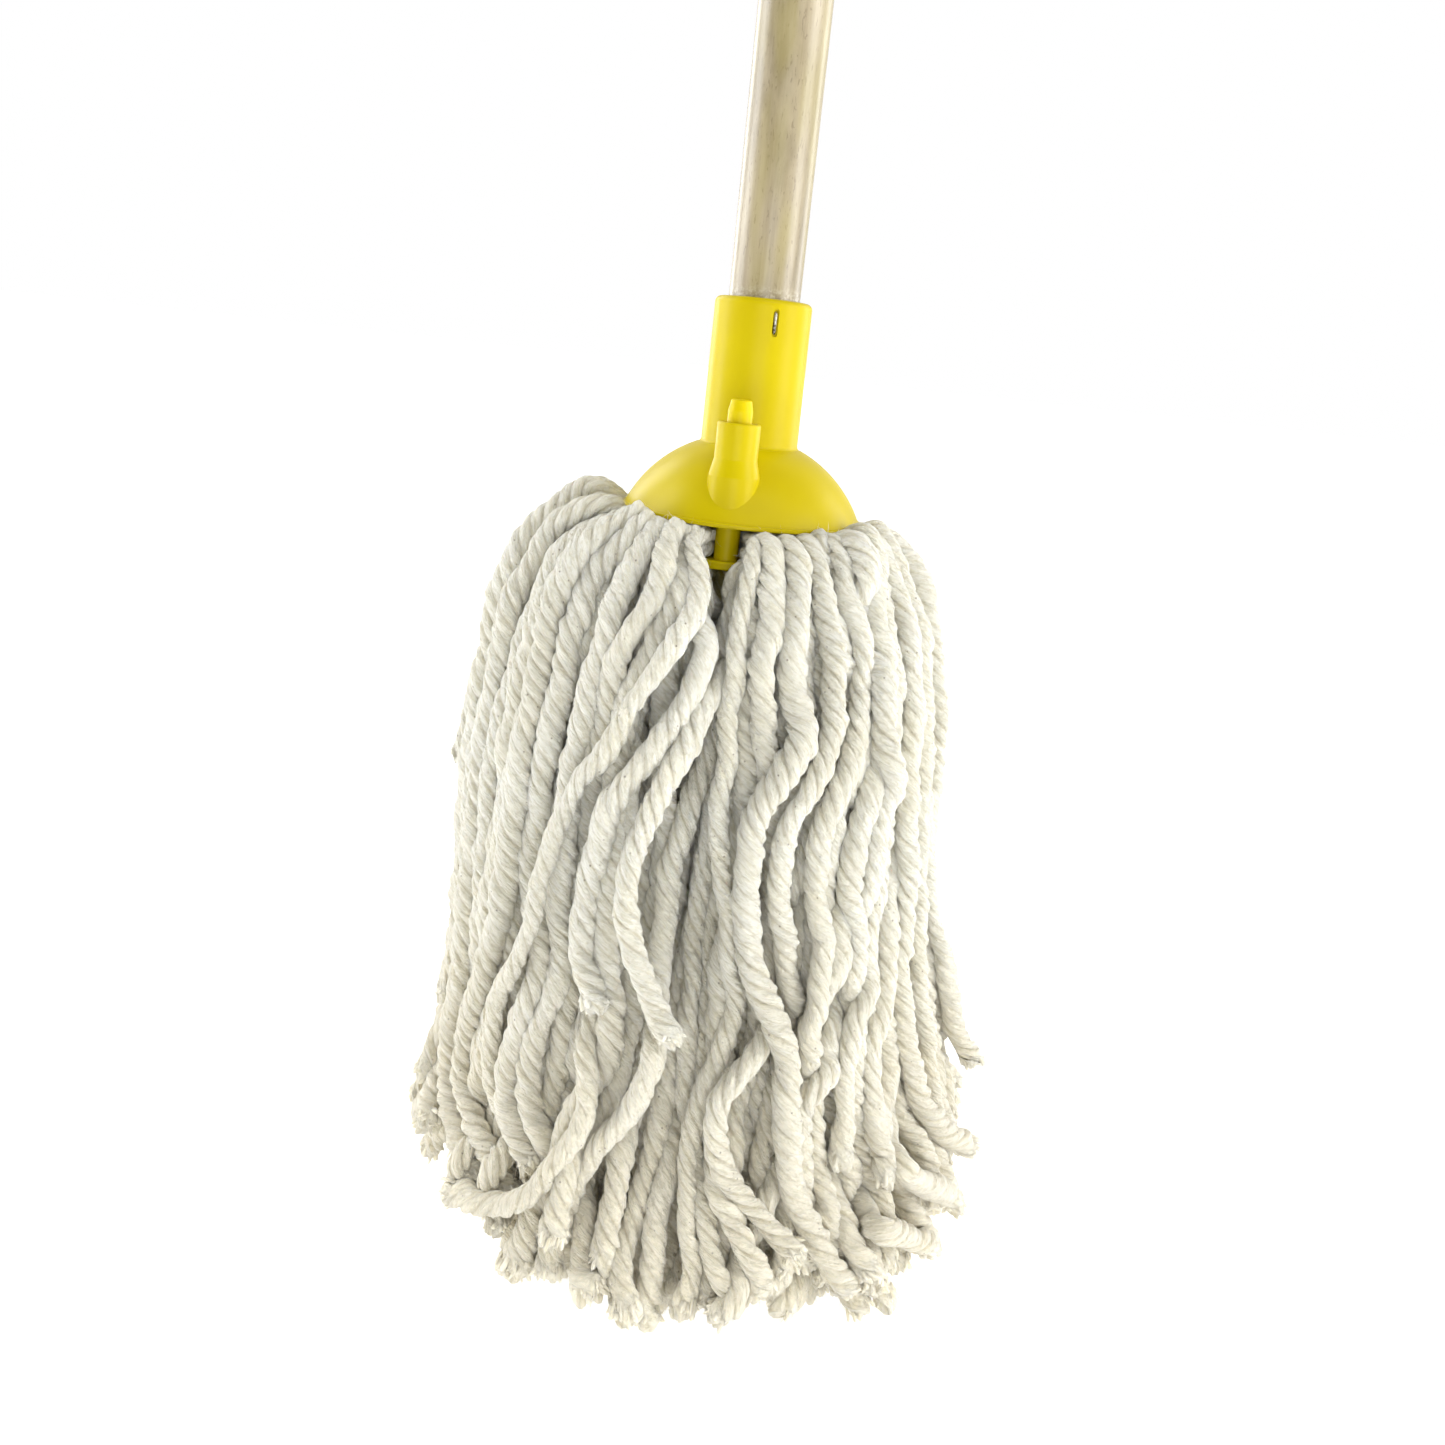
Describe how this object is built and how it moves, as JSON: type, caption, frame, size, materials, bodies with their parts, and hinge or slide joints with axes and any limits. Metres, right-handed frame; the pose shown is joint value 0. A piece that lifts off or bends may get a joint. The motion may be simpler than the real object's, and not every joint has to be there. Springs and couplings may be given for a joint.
{
  "type": "string mop",
  "caption": "Cotton string mop: wooden handle in a domed plastic push-in socket, with a skirt of thick twisted yarn clamped under the dome.",
  "frame": {"origin": "on the handle's axis, 155 mm below its round top, where a hand or a wall clip holds it", "axes": "+Z along the handle, upwards; -Y through the post and boss at the front; the two posts lie in the YZ plane; +X to the right seen from the front"},
  "size_m": [0.218, 0.218, 1.4765],
  "materials": {
    "wood": "clear lacquer over pale open-grained hardwood",
    "yellow_plastic": "satin, injection moulded",
    "steel": "drawn wire",
    "cotton": "unbleached twisted cotton yarn with cut, frayed ends"
  },
  "bodies": {
    "head": {"handle": "wood", "socket_cap": "yellow_plastic", "retaining_plate": "yellow_plastic", "staple": "steel", "yarn_clamped": "cotton"},
    "bundle_01": {"yarn_bundle_01": "cotton"},
    "bundle_02": {"yarn_bundle_02": "cotton"},
    "bundle_03": {"yarn_bundle_03": "cotton"},
    "bundle_04": {"yarn_bundle_04": "cotton"},
    "bundle_05": {"yarn_bundle_05": "cotton"},
    "bundle_06": {"yarn_bundle_06": "cotton"},
    "bundle_07": {"yarn_bundle_07": "cotton"},
    "bundle_08": {"yarn_bundle_08": "cotton"},
    "bundle_09": {"yarn_bundle_09": "cotton"},
    "bundle_10": {"yarn_bundle_10": "cotton"},
    "bundle_11": {"yarn_bundle_11": "cotton"},
    "bundle_12": {"yarn_bundle_12": "cotton"},
    "bundle_13": {"yarn_bundle_13": "cotton"},
    "bundle_14": {"yarn_bundle_14": "cotton"},
    "bundle_15": {"yarn_bundle_15": "cotton"},
    "bundle_16": {"yarn_bundle_16": "cotton"}
  },
  "joints": [
    {"name": "bundle_01_swing", "type": "hinge", "parent": "head", "child": "bundle_01", "pos_m": [0.00927, -0.04659, -1.0775], "axis": [-0.9808, -0.1951, 0], "range_deg": [0, 80]},
    {"name": "bundle_02_swing", "type": "hinge", "parent": "head", "child": "bundle_02", "pos_m": [0.02639, -0.0395, -1.0775], "axis": [-0.8315, -0.5556, 0], "range_deg": [0, 80]},
    {"name": "bundle_03_swing", "type": "hinge", "parent": "head", "child": "bundle_03", "pos_m": [0.0395, -0.02639, -1.0775], "axis": [-0.5556, -0.8315, 0], "range_deg": [0, 80]},
    {"name": "bundle_04_swing", "type": "hinge", "parent": "head", "child": "bundle_04", "pos_m": [0.04659, -0.00927, -1.0775], "axis": [-0.1951, -0.9808, 0], "range_deg": [0, 80]},
    {"name": "bundle_05_swing", "type": "hinge", "parent": "head", "child": "bundle_05", "pos_m": [0.04659, 0.00927, -1.0775], "axis": [0.1951, -0.9808, 0], "range_deg": [0, 80]},
    {"name": "bundle_06_swing", "type": "hinge", "parent": "head", "child": "bundle_06", "pos_m": [0.0395, 0.02639, -1.0775], "axis": [0.5556, -0.8315, 0], "range_deg": [0, 80]},
    {"name": "bundle_07_swing", "type": "hinge", "parent": "head", "child": "bundle_07", "pos_m": [0.02639, 0.0395, -1.0775], "axis": [0.8315, -0.5556, 0], "range_deg": [0, 80]},
    {"name": "bundle_08_swing", "type": "hinge", "parent": "head", "child": "bundle_08", "pos_m": [0.00927, 0.04659, -1.0775], "axis": [0.9808, -0.1951, 0], "range_deg": [0, 80]},
    {"name": "bundle_09_swing", "type": "hinge", "parent": "head", "child": "bundle_09", "pos_m": [-0.00927, 0.04659, -1.0775], "axis": [0.9808, 0.1951, 0], "range_deg": [0, 80]},
    {"name": "bundle_10_swing", "type": "hinge", "parent": "head", "child": "bundle_10", "pos_m": [-0.02639, 0.0395, -1.0775], "axis": [0.8315, 0.5556, 0], "range_deg": [0, 80]},
    {"name": "bundle_11_swing", "type": "hinge", "parent": "head", "child": "bundle_11", "pos_m": [-0.0395, 0.02639, -1.0775], "axis": [0.5556, 0.8315, 0], "range_deg": [0, 80]},
    {"name": "bundle_12_swing", "type": "hinge", "parent": "head", "child": "bundle_12", "pos_m": [-0.04659, 0.00927, -1.0775], "axis": [0.1951, 0.9808, 0], "range_deg": [0, 80]},
    {"name": "bundle_13_swing", "type": "hinge", "parent": "head", "child": "bundle_13", "pos_m": [-0.04659, -0.00927, -1.0775], "axis": [-0.1951, 0.9808, 0], "range_deg": [0, 80]},
    {"name": "bundle_14_swing", "type": "hinge", "parent": "head", "child": "bundle_14", "pos_m": [-0.0395, -0.02639, -1.0775], "axis": [-0.5556, 0.8315, 0], "range_deg": [0, 80]},
    {"name": "bundle_15_swing", "type": "hinge", "parent": "head", "child": "bundle_15", "pos_m": [-0.02639, -0.0395, -1.0775], "axis": [-0.8315, 0.5556, 0], "range_deg": [0, 80]},
    {"name": "bundle_16_swing", "type": "hinge", "parent": "head", "child": "bundle_16", "pos_m": [-0.00927, -0.04659, -1.0775], "axis": [-0.9808, 0.1951, 0], "range_deg": [0, 80]}
  ]
}
